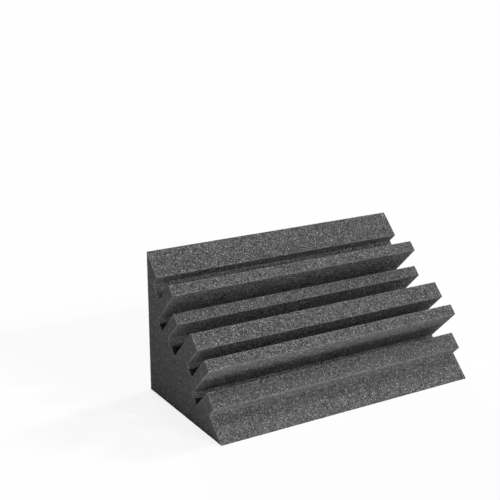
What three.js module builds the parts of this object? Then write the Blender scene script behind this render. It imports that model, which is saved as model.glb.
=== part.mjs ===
// Corner bass trap: one block of charcoal open-cell polyurethane foam for the corner of a room.
//
// Two faces at right angles lie on the two walls. The sloping face between them is cut into a comb of
// square bars and grooves, which run the whole length and give the foam more face to the sound. A flat
// strip is left along each wall.
//
// Two traps are cut from one square block with no waste, by one blade that follows the comb: the bars of
// the one are the grooves of the other. So both traps come out alike only if the comb is its own copy
// when it is turned half round about the middle of the sloping face. A groove in the upper half then has
// a bar of its own size in the lower half, and the other way round.
//
// Millimetres, +Z up. The trap lies on one of its wall faces, as it is laid on a shelf or a table, with
// the other one upright at the back (+Y) and the comb facing forwards and up. The length runs along X.
// The origin is under the middle of the box that the trap fills.

import * as THREE from 'three';

// The trap: both wall faces are equally wide
const wallFaceWidth = 304.8;
const trapLength = 609.6;

// The cuts of one half of the comb, from the strip along the wall to the middle of the sloping face.
// The width is measured down the slope, and the reach square to it: how high the bar stands out of the
// sloping face, or how deep the groove goes below it.
const edgeCutWidth = 38.1;
const edgeCutReach = 25.4;
const outerCutWidth = 25.4;
const outerCutReach = 38.1;
const deepCutWidth = 25.4;
const deepCutReach = 63.5;
const shallowCutWidth = 25.4;
const shallowCutReach = 12.7;
const middleCutWidth = 38.1;
const middleCutReach = 50.8;

// The least radius that the contour blade turns, which it leaves in each corner of the comb
const bladeRadius = 1;
const segmentsPerQuarter = 4;

// The upper half of the comb, from the top down. A positive height is a bar and a negative one a groove.
const upperHalf = [
  { width: edgeCutWidth, height: -edgeCutReach },
  { width: outerCutWidth, height: outerCutReach },
  { width: deepCutWidth, height: -deepCutReach },
  { width: shallowCutWidth, height: shallowCutReach },
  { width: middleCutWidth, height: -middleCutReach },
];

// The other trap's bars are this one's grooves, so the lower half is the upper one turned half round
const lowerHalf = upperHalf.map(({ width, height }) => ({ width, height: -height })).reverse();

// The two flat strips share what the cuts leave of the sloping face
function stripWidth(slopeWidth) {
  const halfComb = upperHalf.reduce((sum, cut) => sum + cut.width, 0);
  return slopeWidth / 2 - halfComb;
}

// The corners of the blade's path, as places down the slope and heights square to it
function combCorners(slopeWidth) {
  let down = stripWidth(slopeWidth);
  const corners = [{ down, height: 0 }];
  for (const { width, height } of [...upperHalf, ...lowerHalf]) {
    corners.push({ down, height });
    down += width;
    corners.push({ down, height });
  }
  corners.push({ down, height: 0 });
  return corners;
}

// A square corner of the path, rounded by the blade: a quarter turn between the lines before and after it
function turnCorner(outline, before, corner, after) {
  const arriving = corner.clone().sub(before).normalize();
  const leaving = after.clone().sub(corner).normalize();
  const centre = corner.clone().addScaledVector(arriving, -bladeRadius).addScaledVector(leaving, bladeRadius);
  const startAngle = leaving.clone().negate().angle();
  const turnsRight = arriving.cross(leaving) < 0;
  outline.absarc(centre.x, centre.y, bladeRadius, startAngle, arriving.angle(), turnsRight);
}

// The section across the trap, with the corner of the room at its origin: x is minus the distance from
// the upright wall face, and y the height above the lower one
function trapSection() {
  const roomCorner = new THREE.Vector2(0, 0);
  const topEdge = new THREE.Vector2(0, wallFaceWidth);
  const frontEdge = new THREE.Vector2(-wallFaceWidth, 0);
  const downSlope = frontEdge.clone().sub(topEdge).normalize();
  const outwards = new THREE.Vector2(downSlope.y, -downSlope.x);

  const comb = combCorners(topEdge.distanceTo(frontEdge)).map(({ down, height }) =>
    topEdge.clone().addScaledVector(downSlope, down).addScaledVector(outwards, height),
  );
  const path = [topEdge, ...comb, frontEdge];

  const outline = new THREE.Shape();
  outline.moveTo(roomCorner.x, roomCorner.y);
  outline.lineTo(topEdge.x, topEdge.y);
  for (let i = 1; i < path.length - 1; i += 1) {
    turnCorner(outline, path[i - 1], path[i], path[i + 1]);
  }
  outline.lineTo(frontEdge.x, frontEdge.y);
  outline.closePath();
  return outline;
}

function foamBlock() {
  // Each quarter turn is an ellipse curve, which the extrusion splits into twice its curveSegments
  const geometry = new THREE.ExtrudeGeometry(trapSection(), {
    depth: trapLength,
    bevelEnabled: false,
    curveSegments: segmentsPerQuarter / 2,
  });
  const material = new THREE.MeshStandardMaterial({ color: 0x616161, roughness: 1, metalness: 0 });
  const block = new THREE.Mesh(geometry, material);
  block.name = 'foam_block';
  return block;
}

// The section's x, y and length become the trap's Y, Z and X
const foam = foamBlock();
foam.rotation.set(Math.PI / 2, Math.PI / 2, 0);
foam.position.set(-trapLength / 2, wallFaceWidth / 2, 0);

const cornerBassTrap = new THREE.Group();
cornerBassTrap.name = 'corner_bass_trap';
cornerBassTrap.add(foam);

export default cornerBassTrap;
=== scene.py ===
import math

import bmesh
import bpy
import mathutils.geometry
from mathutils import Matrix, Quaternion, Vector


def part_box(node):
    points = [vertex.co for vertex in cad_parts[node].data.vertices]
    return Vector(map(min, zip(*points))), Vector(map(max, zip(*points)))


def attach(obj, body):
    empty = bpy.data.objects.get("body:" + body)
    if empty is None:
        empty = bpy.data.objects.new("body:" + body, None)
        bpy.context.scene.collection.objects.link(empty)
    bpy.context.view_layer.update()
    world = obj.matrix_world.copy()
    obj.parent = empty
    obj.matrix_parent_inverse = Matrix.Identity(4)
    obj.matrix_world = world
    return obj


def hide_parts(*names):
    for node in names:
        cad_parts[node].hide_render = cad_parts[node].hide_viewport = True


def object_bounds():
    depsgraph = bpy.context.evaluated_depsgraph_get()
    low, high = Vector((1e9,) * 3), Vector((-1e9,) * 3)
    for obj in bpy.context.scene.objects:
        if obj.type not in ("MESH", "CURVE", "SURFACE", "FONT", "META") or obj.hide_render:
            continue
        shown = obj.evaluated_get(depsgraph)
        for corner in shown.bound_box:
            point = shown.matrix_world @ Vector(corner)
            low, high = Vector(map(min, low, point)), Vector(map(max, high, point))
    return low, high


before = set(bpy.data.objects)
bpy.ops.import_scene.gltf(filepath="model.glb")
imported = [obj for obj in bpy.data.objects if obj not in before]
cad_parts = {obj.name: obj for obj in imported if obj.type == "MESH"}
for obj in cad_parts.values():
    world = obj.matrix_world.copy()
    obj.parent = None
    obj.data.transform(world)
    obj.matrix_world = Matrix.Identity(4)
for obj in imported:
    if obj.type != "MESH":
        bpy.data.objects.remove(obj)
cad_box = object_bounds()


# The camera stands to the left of the trap and a little above it, where it sees the near end, the comb
# and the shaded undersides of the bars at once. Its place, turn and lens fit the photograph.
camera_place = (-1.1767, -1.7197, 0.9209)
camera_azimuth = -30.85
camera_elevation = 16.63
camera_roll = -0.16
camera_lens_mm = 75.75
sensor_width_mm = 36.0


def direction(azimuth, elevation):
    """The way out to what stands at an azimuth, which turns from -Y towards +X, and an elevation, both in
    degrees."""
    azimuth, elevation = math.radians(azimuth), math.radians(elevation)
    return Vector((
        math.sin(azimuth) * math.cos(elevation),
        -math.cos(azimuth) * math.cos(elevation),
        math.sin(elevation),
    ))


camera = bpy.data.objects.new("camera", bpy.data.cameras.new("camera"))
camera.data.lens = camera_lens_mm
camera.data.sensor_width = sensor_width_mm
camera.location = camera_place
camera.rotation_mode = "QUATERNION"
level_turn = (-direction(camera_azimuth, camera_elevation)).to_track_quat("-Z", "Y")
camera.rotation_quaternion = level_turn @ Quaternion((0, 0, 1), math.radians(camera_roll))
bpy.context.scene.collection.objects.link(camera)
bpy.context.scene.camera = camera


# The studio: a white paper floor under five large lamps and a small one. Strips of light lie on the
# floor in front of the trap and beside its near end, and shine up at the bars' undersides and that end.
floor_half_width = 40.0
paper_white = "#FAFAFA"
white_light = (1.0, 1.0, 1.0, 1.0)
floor_seen_white_share = 0.85

# Each lamp's azimuth, elevation and spread in degrees, and its strength
lamps = (
    ("right_rear_lamp", 100, 40, 12, 1.75),
    ("overhead_lamp", 0, 90, 12, 0.8),
    ("front_lamp", 25, 25, 12, 0.6),
    ("low_front_lamp", 25, 12, 12, 0.5),
    ("small_right_lamp", 40, 26, 3, 1.27),
    ("back_lamp", 165, 15, 12, 1.3),
)

# Each strip's reach along X and along Y, and its brightness
strips = (
    ("front_strip", (-0.31, 0.31), (-0.4, -0.155), 1.14),
    ("left_strip", (-1.2, -0.31), (-0.25, -0.155), 2.2),
    ("end_strip", (-0.42, -0.31), (-0.155, 0.155), 0.26),
)
strip_lift = 0.001
facing_up = Quaternion((1, 0, 0), math.pi)


def colour(hex_code):
    """The linear colour that a shader takes, from an sRGB hex code."""
    channels = [int(hex_code[i:i + 2], 16) / 255 for i in (1, 3, 5)]
    linear = [c / 12.92 if c <= 0.04045 else ((c + 0.055) / 1.055) ** 2.4 for c in channels]
    return (*linear, 1.0)


def add(tree, kind, settings=None, inputs=None):
    """Adds a node with its settings, and gives each input a value or links it to a socket."""
    node = tree.nodes.new(kind)
    for name, value in (settings or {}).items():
        setattr(node, name, value)
    for name, value in (inputs or {}).items():
        if isinstance(value, bpy.types.NodeSocket):
            tree.links.new(value, node.inputs[name])
        else:
            node.inputs[name].default_value = value
    return node


def empty_material(name):
    """A new material without nodes, and the tree that they go into."""
    material = bpy.data.materials.new(name)
    material.use_nodes = True
    material.node_tree.nodes.clear()
    return material, material.node_tree


def seen_directly(tree):
    """1 for what the camera sees straight, in a mirror or through glass, and 0 for light on its way."""
    path = add(tree, "ShaderNodeLightPath")
    straight_or_mirrored = add(tree, "ShaderNodeMath", {"operation": "MAXIMUM"}, {
        0: path.outputs["Is Camera Ray"], 1: path.outputs["Is Glossy Ray"],
    })
    return add(tree, "ShaderNodeMath", {"operation": "MAXIMUM"}, {
        0: straight_or_mirrored.outputs[0], 1: path.outputs["Is Transmission Ray"],
    }).outputs[0]


world = bpy.data.worlds.new("white surround")
bpy.context.scene.world = world
world.use_nodes = True
world.node_tree.nodes.clear()
surround = add(world.node_tree, "ShaderNodeBackground", None, {
    "Color": white_light, "Strength": seen_directly(world.node_tree),
})
add(world.node_tree, "ShaderNodeOutputWorld", None, {"Surface": surround.outputs[0]})

floor_material, sweep = empty_material("white paper sweep")
paper = add(sweep, "ShaderNodeBsdfDiffuse", None, {"Color": colour(paper_white)})
glow = add(sweep, "ShaderNodeEmission", None, {"Color": white_light, "Strength": 1.0})
share = add(sweep, "ShaderNodeMath", {"operation": "MULTIPLY"}, {
    0: seen_directly(sweep), 1: floor_seen_white_share,
})
seen_floor = add(sweep, "ShaderNodeMixShader", None, {
    0: share.outputs[0], 1: paper.outputs[0], 2: glow.outputs[0],
})
add(sweep, "ShaderNodeOutputMaterial", None, {"Surface": seen_floor.outputs[0]})

floor_mesh = bpy.data.meshes.new("floor")
floor_mesh.from_pydata(
    [(x * floor_half_width, y * floor_half_width, cad_box[0].z)
     for x, y in ((-1, -1), (1, -1), (1, 1), (-1, 1))],
    [], [(0, 1, 2, 3)],
)
floor_mesh.materials.append(floor_material)
floor = bpy.data.objects.new("floor", floor_mesh)
bpy.context.scene.collection.objects.link(floor)

for name, azimuth, elevation, spread, strength in lamps:
    lamp = bpy.data.lights.new(name, "SUN")
    lamp.energy = strength
    lamp.angle = math.radians(spread)
    lamp_object = bpy.data.objects.new(name, lamp)
    lamp_object.rotation_mode = "QUATERNION"
    lamp_object.rotation_quaternion = (-direction(azimuth, elevation)).to_track_quat("-Z", "Y")
    bpy.context.scene.collection.objects.link(lamp_object)

for name, (left, right), (front, rear), brightness in strips:
    strip = bpy.data.lights.new(name, "AREA")
    strip.shape = "RECTANGLE"
    strip.size, strip.size_y = right - left, rear - front
    strip.energy = math.pi * strip.size * strip.size_y * brightness
    strip_object = bpy.data.objects.new(name, strip)
    strip_object.rotation_mode = "QUATERNION"
    strip_object.rotation_quaternion = facing_up
    strip_object.location = ((left + right) / 2, (front + rear) / 2, cad_box[0].z + strip_lift)
    strip_object.visible_camera = False
    bpy.context.scene.collection.objects.link(strip_object)


# The foam block, which is the whole trap: charcoal open-cell polyurethane foam. A thin blade cuts the comb
# out of a block, which opens the cells, so every face is a crust of pits with torn walls round them. The two
# ends are sawn, which leaves them smoother, and every outer edge is a little frayed and carries a pale
# painted highlight.
mm = 0.001
micron = 0.000001

# Reading the section: points this close are one point, points this near the left end lie on it, and a
# face whose normal follows X by more than this share is the end itself
weld_reach_mm = 0.01
end_reach_mm = 0.1
end_facing = 0.9

# The skin: its steps along and round the block, the least step that a corner's round keeps, the round at
# each end's rim with the place of its middle, and the gaps in the flat layout
skin_step_mm = 2.0
least_step_mm = 0.7
end_round_mm = 0.6
end_round_middle = 0.3
layout_gap_share = 0.01

# The ends: the step and the row height of their even triangles, of which only those inside the rim stay
end_step_mm = 3.0
row_height = 0.866
inside_only = 1
join_reach = 0.0000001

# Fray and painted highlight: an outline's turn that counts as an outer edge, how far the fray and the
# painted edge highlight reach from it, and how frayed and how highlighted a long edge is when an end's rim
# is 1
least_edge_turn = math.radians(10)
fray_and_highlight_reach_mm = 2.0
long_edge_fray_and_highlight = 0.4

# The cells: pore_floor and pore_rim are distances from a cell's middle, as shares of its size
cell_size_mm = 1.9
pore_depth_mm = 0.3
pore_floor = 0.15
pore_rim = 0.75
pore_bump = 0.5
fray_depth_mm = 0.15
wander_size_mm = 70.0
wander_depth_mm = 0.6
facet_lean = 0.64

# The tones of the cells with their places from 0 to 1, the dark ones painted shade in the pores and the pale
# ones painted highlights and glints on torn walls; a frayed edge's tone, which is a painted highlight; and
# the two that a sawn end drifts between, with the noise at which it reaches them
foam_pore_painted_shade = "#4B4B4B"
foam_shade = "#555555"
foam_mid = "#626262"
foam_torn_painted_highlight = "#707070"
foam_speck_painted_glint = "#9C9C9C"
cell_tones = ((0.0, foam_pore_painted_shade), (0.2, foam_shade), (0.7, foam_mid), (0.92, foam_torn_painted_highlight), (1.0, foam_speck_painted_glint))
foam_fray_painted_highlight = "#868686"
foam_dull = "#4C4C4C"
foam_worn = "#707070"
sawn_smoothness = 0.35
mottle_size_mm = 9.0
mottle_dull = 0.3
mottle_worn = 0.7


def section_of(node_name):
    """The outline of a CAD node's section across X, as (y, z) points in order, the inside on the left."""
    skin = bmesh.new()
    skin.from_mesh(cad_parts[node_name].data)
    bmesh.ops.remove_doubles(skin, verts=skin.verts, dist=weld_reach_mm * mm)
    end_x = min(vertex.co.x for vertex in skin.verts)
    following = {}
    for face in skin.faces:
        if face.normal.x < -end_facing:
            continue
        for loop in face.loops:
            start, stop = loop.vert, loop.link_loop_next.vert
            if max(start.co.x, stop.co.x) < end_x + end_reach_mm * mm:
                following[start] = stop
    vertex = min(following, key=lambda v: (round(v.co.z, 5), round(v.co.y, 5)))
    outline = []
    while vertex in following:
        outline.append(Vector((vertex.co.y, vertex.co.z)))
        vertex = following.pop(vertex)
    skin.free()
    area = sum(a.x * b.y - b.x * a.y for a, b in zip(outline, outline[1:] + outline[:1]))
    return outline if area > 0 else outline[::-1]


def even_outline(outline):
    """The same outline in short even steps, with the least part of each corner's round left out."""
    kept = [outline[0]]
    for point in outline[1:]:
        if (point - kept[-1]).length > least_step_mm * mm:
            kept.append(point)
    steps = []
    for start, stop in zip(kept, kept[1:] + kept[:1]):
        count = max(1, round((stop - start).length / (skin_step_mm * mm)))
        steps += [start.lerp(stop, i / count) for i in range(count)]
    return steps


def fray_and_highlight_points(outline, before, following, travelled):
    """How frayed each point of the outline is, which also sets how much painted highlight its colour takes:
    most on an outer edge, and less the farther from it.
    """
    fray_and_highlight = [0.0] * len(outline)
    for i, point in enumerate(outline):
        turn = (point - before[i]).angle_signed(following[i] - point)
        if turn < -least_edge_turn:
            for k in range(len(outline)):
                apart = abs(travelled[k] - travelled[i])
                apart = min(apart, travelled[-1] - apart)
                fray_and_highlight[k] = max(fray_and_highlight[k], long_edge_fray_and_highlight * (1.0 - apart / (fray_and_highlight_reach_mm * mm)))
    return fray_and_highlight


def staggered_rows(low, high):
    """Points over the section's box, in rows that lie as in a net of even triangles."""
    step = end_step_mm * mm
    return [
        Vector((low.x + step * (c + 0.5 * (r % 2)), low.y + step * r * row_height))
        for r in range(1, int((high.y - low.y) / step / row_height))
        for c in range(1, int((high.x - low.x) / step))
    ]


def foam_skin(outline, half_length):
    """The closed skin of the block: the outline swept along X in even steps, and the two ends, each with a
    small round at its rim. It carries how frayed each point is, which also sets the painted highlight on its
    colour, how sawn it is, and a flat layout."""
    count = len(outline)
    following = outline[1:] + outline[:1]
    before = outline[-1:] + outline[:-1]
    outwards = []
    for a, b in zip(before, following):
        along = (b - a).normalized()
        outwards.append(Vector((along.y, -along.x)))
    travelled = [0.0]
    for a, b in zip(outline, following):
        travelled.append(travelled[-1] + (b - a).length)
    fray_and_highlight = fray_and_highlight_points(outline, before, following, travelled)

    end_round = end_round_mm * mm
    middle = end_round_middle * end_round
    inner = half_length - end_round
    spans = round(2 * inner / (skin_step_mm * mm))
    rings = [(-half_length, end_round), (-half_length + middle, middle)]
    rings += [(-inner + 2 * inner * i / spans, 0.0) for i in range(spans + 1)]
    rings += [(-x, inset) for x, inset in reversed(rings[:2])]

    points, edge, sawn = [], [], []
    for x, inset in rings:
        near_end = max(0.0, 1.0 - (half_length - abs(x)) / (fray_and_highlight_reach_mm * mm))
        for i in range(count):
            place = outline[i] - outwards[i] * inset
            points.append((x, place.x, place.y))
            edge.append(max(fray_and_highlight[i], near_end))
            sawn.append(inset / end_round)

    # The layout has the lower and the upper half of the long skin one over the other, and the ends beside
    low = Vector((min(p.x for p in outline), min(p.y for p in outline)))
    high = Vector((max(p.x for p in outline), max(p.y for p in outline)))
    sheet = travelled[-1] / 2
    gap = layout_gap_share * half_length
    side = max(sheet + (high.x - low.x) + 2 * gap, 2 * (2 * half_length + 2 * gap))
    faces, layout = [], []
    for r in range(len(rings) - 1):
        for i in range(count):
            j = (i + 1) % count
            faces.append((r * count + i, r * count + j, (r + 1) * count + j, (r + 1) * count + i))
            upper = travelled[i] + micron >= sheet
            for ring, step in ((r, i), (r, i + 1), (r + 1, i + 1), (r + 1, i)):
                layout.append((
                    (travelled[step] - sheet * upper) / side,
                    (rings[ring][0] + half_length + (2 * half_length + 2 * gap) * upper) / side,
                ))

    rim_edges = [(i, (i + 1) % count) for i in range(count)]
    for ring, turned in ((0, 1), (len(rings) - 1, 0)):
        rim = [Vector(points[ring * count + i][1:]) for i in range(count)]
        places, _, triangles, sources = mathutils.geometry.delaunay_2d_cdt(
            rim + staggered_rows(low, high), rim_edges, [], inside_only, join_reach,
        )[:4]
        names = {}
        for triangle in triangles:
            for v in triangle:
                on_rim = [source for source in sources[v] if source < count]
                if v not in names and on_rim:
                    names[v] = ring * count + on_rim[0]
                elif v not in names:
                    names[v] = len(points)
                    points.append((rings[ring][0], *places[v]))
                    edge.append(0.0)
                    sawn.append(1.0)
            corners = [names[v] for v in triangle]
            if turned:
                corners.reverse()
            faces.append(corners)
            for v in corners:
                layout.append((
                    (sheet + gap + points[v][1] - low.x) / side,
                    (points[v][2] - low.y + (high.y - low.y + 2 * gap) * turned) / side,
                ))

    mesh = bpy.data.meshes.new("foam skin")
    mesh.from_pydata(points, [], faces)
    mesh.attributes.new("edge", "FLOAT", "POINT").data.foreach_set("value", edge)
    mesh.attributes.new("sawn", "FLOAT", "POINT").data.foreach_set("value", sawn)
    flat = mesh.uv_layers.new(name="OFBake")
    flat.data.foreach_set("uv", [value for place in layout for value in place])
    return mesh


def baked_mesh(thing, name):
    """The mesh that an object's modifiers make, as a plain mesh of its own."""
    depsgraph = bpy.context.evaluated_depsgraph_get()
    mesh = bpy.data.meshes.new_from_object(thing.evaluated_get(depsgraph), depsgraph=depsgraph)
    mesh.name = name
    return mesh


def foam_material():
    """Charcoal polyurethane foam, cut open. Each cell has a tone of its own, which paints in light and
    shade: painted shade where the eye looks into its pore, a painted highlight or glint where a torn wall
    catches the light. Real cells are about a millimetre across, too fine to show, and are drawn about twice
    as coarse. A sawn end is plainer, and a frayed edge is paler with a painted highlight."""
    material, tree = empty_material("charcoal polyurethane foam")
    place = add(tree, "ShaderNodeTexCoord").outputs["Object"]
    cells = add(tree, "ShaderNodeTexVoronoi", None, {
        "Vector": place, "Scale": 1 / (cell_size_mm * mm),
    })
    chance = add(tree, "ShaderNodeSeparateColor", None, {"Color": cells.outputs["Color"]})
    # Random cell tones: the darkest are painted shade in the pores, the palest painted highlights and glints
    # on torn walls
    tones = add(tree, "ShaderNodeValToRGB", None, {"Fac": chance.outputs[0]})
    stops = tones.color_ramp.elements
    for stop, (position, tone) in zip(stops, (cell_tones[0], cell_tones[-1])):
        stop.position, stop.color = position, colour(tone)
    for position, tone in cell_tones[1:-1]:
        stops.new(position).color = colour(tone)

    edge = add(tree, "ShaderNodeAttribute", {"attribute_name": "edge"})
    end = add(tree, "ShaderNodeAttribute", {"attribute_name": "sawn"})
    sawn = add(tree, "ShaderNodeMath", {"operation": "MULTIPLY"}, {
        0: end.outputs["Fac"], 1: sawn_smoothness,
    })
    drift = add(tree, "ShaderNodeTexNoise", None, {
        "Vector": place, "Scale": 1 / (mottle_size_mm * mm), "Detail": 3.0,
    })
    mottled = add(tree, "ShaderNodeMapRange", None, {
        "Value": drift.outputs[0], "From Min": mottle_dull, "From Max": mottle_worn,
    })
    mottle = add(tree, "ShaderNodeMix", {"data_type": "RGBA"}, {
        "Factor": mottled.outputs[0], "A": colour(foam_dull), "B": colour(foam_worn),
    })
    plainer = add(tree, "ShaderNodeMix", {"data_type": "RGBA"}, {
        "Factor": sawn.outputs[0], "A": tones.outputs[0], "B": mottle.outputs["Result"],
    })
    # A frayed edge is mixed towards a pale tone, which is a painted highlight
    painted_edge_highlight = add(tree, "ShaderNodeMix", {"data_type": "RGBA"}, {
        "Factor": edge.outputs["Fac"], "A": plainer.outputs["Result"], "B": colour(foam_fray_painted_highlight),
    })

    # Each cell's facet leans its own way. A random colour less a half gives up to a half each way, so it
    # is scaled by twice the lean, and by less on a sawn end.
    lean = add(tree, "ShaderNodeVectorMath", {"operation": "SUBTRACT"}, {
        0: cells.outputs["Color"], 1: (0.5, 0.5, 0.5),
    })
    steady = add(tree, "ShaderNodeMapRange", None, {
        "Value": sawn.outputs[0], "From Max": sawn_smoothness, "To Min": 2 * facet_lean,
        "To Max": 2 * facet_lean * (1 - sawn_smoothness),
    })
    leaned = add(tree, "ShaderNodeVectorMath", {"operation": "SCALE"}, {
        0: lean.outputs[0], "Scale": steady.outputs[0],
    })
    facing = add(tree, "ShaderNodeVectorMath", {"operation": "ADD"}, {
        0: add(tree, "ShaderNodeNewGeometry").outputs["Normal"], 1: leaned.outputs[0],
    })
    facet = add(tree, "ShaderNodeVectorMath", {"operation": "NORMALIZE"}, {0: facing.outputs[0]})
    bump = add(tree, "ShaderNodeBump", None, {
        "Height": cells.outputs["Distance"], "Distance": pore_depth_mm * mm, "Strength": pore_bump,
        "Normal": facet.outputs[0],
    })
    surface = add(tree, "ShaderNodeBsdfPrincipled", None, {
        "Base Color": painted_edge_highlight.outputs["Result"], "Roughness": 1.0, "Specular IOR Level": 0.0,
        "Normal": bump.outputs[0],
    })
    add(tree, "ShaderNodeOutputMaterial", None, {"Surface": surface.outputs[0]})
    return material


def open_cells_tree():
    """Geometry Nodes that press the cells' pits into a dense skin, nick its outer edges and let its faces
    wander a little."""
    tree = bpy.data.node_groups.new("open cells", "GeometryNodeTree")
    sockets = {}
    for name, kind in (
        ("Skin", "NodeSocketGeometry"),
        ("Cell Size", "NodeSocketFloat"),
        ("Pore Depth", "NodeSocketFloat"),
        ("Fray Depth", "NodeSocketFloat"),
        ("Wander Size", "NodeSocketFloat"),
        ("Wander Depth", "NodeSocketFloat"),
        ("Foam", "NodeSocketMaterial"),
    ):
        sockets[name] = tree.interface.new_socket(name=name, in_out="INPUT", socket_type=kind)
    tree.interface.new_socket(name="Block", in_out="OUTPUT", socket_type="NodeSocketGeometry")
    given = add(tree, "NodeGroupInput").outputs
    place = add(tree, "GeometryNodeInputPosition").outputs[0]

    fineness = add(tree, "ShaderNodeMath", {"operation": "DIVIDE"}, {0: 1.0, 1: given["Cell Size"]})
    cells = add(tree, "ShaderNodeTexVoronoi", None, {"Vector": place, "Scale": fineness.outputs[0]})
    pit = add(tree, "ShaderNodeMapRange", {"interpolation_type": "SMOOTHSTEP"}, {
        "Value": cells.outputs["Distance"], "From Min": pore_floor, "From Max": pore_rim,
        "To Min": -1.0, "To Max": 0.0,
    })
    edge = add(tree, "GeometryNodeInputNamedAttribute", {"data_type": "FLOAT"}, {"Name": "edge"})
    torn = add(tree, "ShaderNodeMath", {"operation": "MULTIPLY"}, {
        0: edge.outputs["Attribute"], 1: given["Fray Depth"],
    })
    reach = add(tree, "ShaderNodeMath", {"operation": "ADD"}, {0: torn.outputs[0], 1: given["Pore Depth"]})
    deep = add(tree, "ShaderNodeMath", {"operation": "MULTIPLY"}, {0: pit.outputs[0], 1: reach.outputs[0]})

    breadth = add(tree, "ShaderNodeMath", {"operation": "DIVIDE"}, {0: 1.0, 1: given["Wander Size"]})
    drift = add(tree, "ShaderNodeTexNoise", None, {
        "Vector": place, "Scale": breadth.outputs[0], "Detail": 2.0,
    })
    swell = add(tree, "ShaderNodeMapRange", None, {"Value": drift.outputs[0], "To Min": -1.0, "To Max": 0.0})
    height = add(tree, "ShaderNodeMath", {"operation": "MULTIPLY_ADD"}, {
        0: swell.outputs[0], 1: given["Wander Depth"], 2: deep.outputs[0],
    })

    offset = add(tree, "ShaderNodeVectorMath", {"operation": "SCALE"}, {
        0: add(tree, "GeometryNodeInputNormal").outputs[0], "Scale": height.outputs[0],
    })
    pressed = add(tree, "GeometryNodeSetPosition", None, {
        "Geometry": given["Skin"], "Offset": offset.outputs[0],
    })
    smooth = add(tree, "GeometryNodeSetShadeSmooth", None, {"Geometry": pressed.outputs[0]})
    real = add(tree, "GeometryNodeRealizeInstances", None, {"Geometry": smooth.outputs[0]})
    finished = add(tree, "GeometryNodeSetMaterial", None, {
        "Geometry": real.outputs[0], "Material": given["Foam"],
    })
    add(tree, "NodeGroupOutput", None, {0: finished.outputs[0]})
    return tree, sockets


block_low, block_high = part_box("foam_block")
half_length = (block_high[0] - block_low[0]) / 2
foam = bpy.data.objects.new("foam", foam_skin(even_outline(section_of("foam_block")), half_length))
bpy.context.scene.collection.objects.link(foam)
cell_tree, cell_sockets = open_cells_tree()
cutting = foam.modifiers.new("open cells", "NODES")
cutting.node_group = cell_tree
for name, value in (
    ("Cell Size", cell_size_mm * mm),
    ("Pore Depth", pore_depth_mm * mm),
    ("Fray Depth", fray_depth_mm * mm),
    ("Wander Size", wander_size_mm * mm),
    ("Wander Depth", wander_depth_mm * mm),
    ("Foam", foam_material()),
):
    cutting[cell_sockets[name].identifier] = value
foam.data = baked_mesh(foam, "foam")
foam.modifiers.remove(cutting)

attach(foam, "root")
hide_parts("foam_block")


bpy.context.scene.view_settings.view_transform = "Standard"
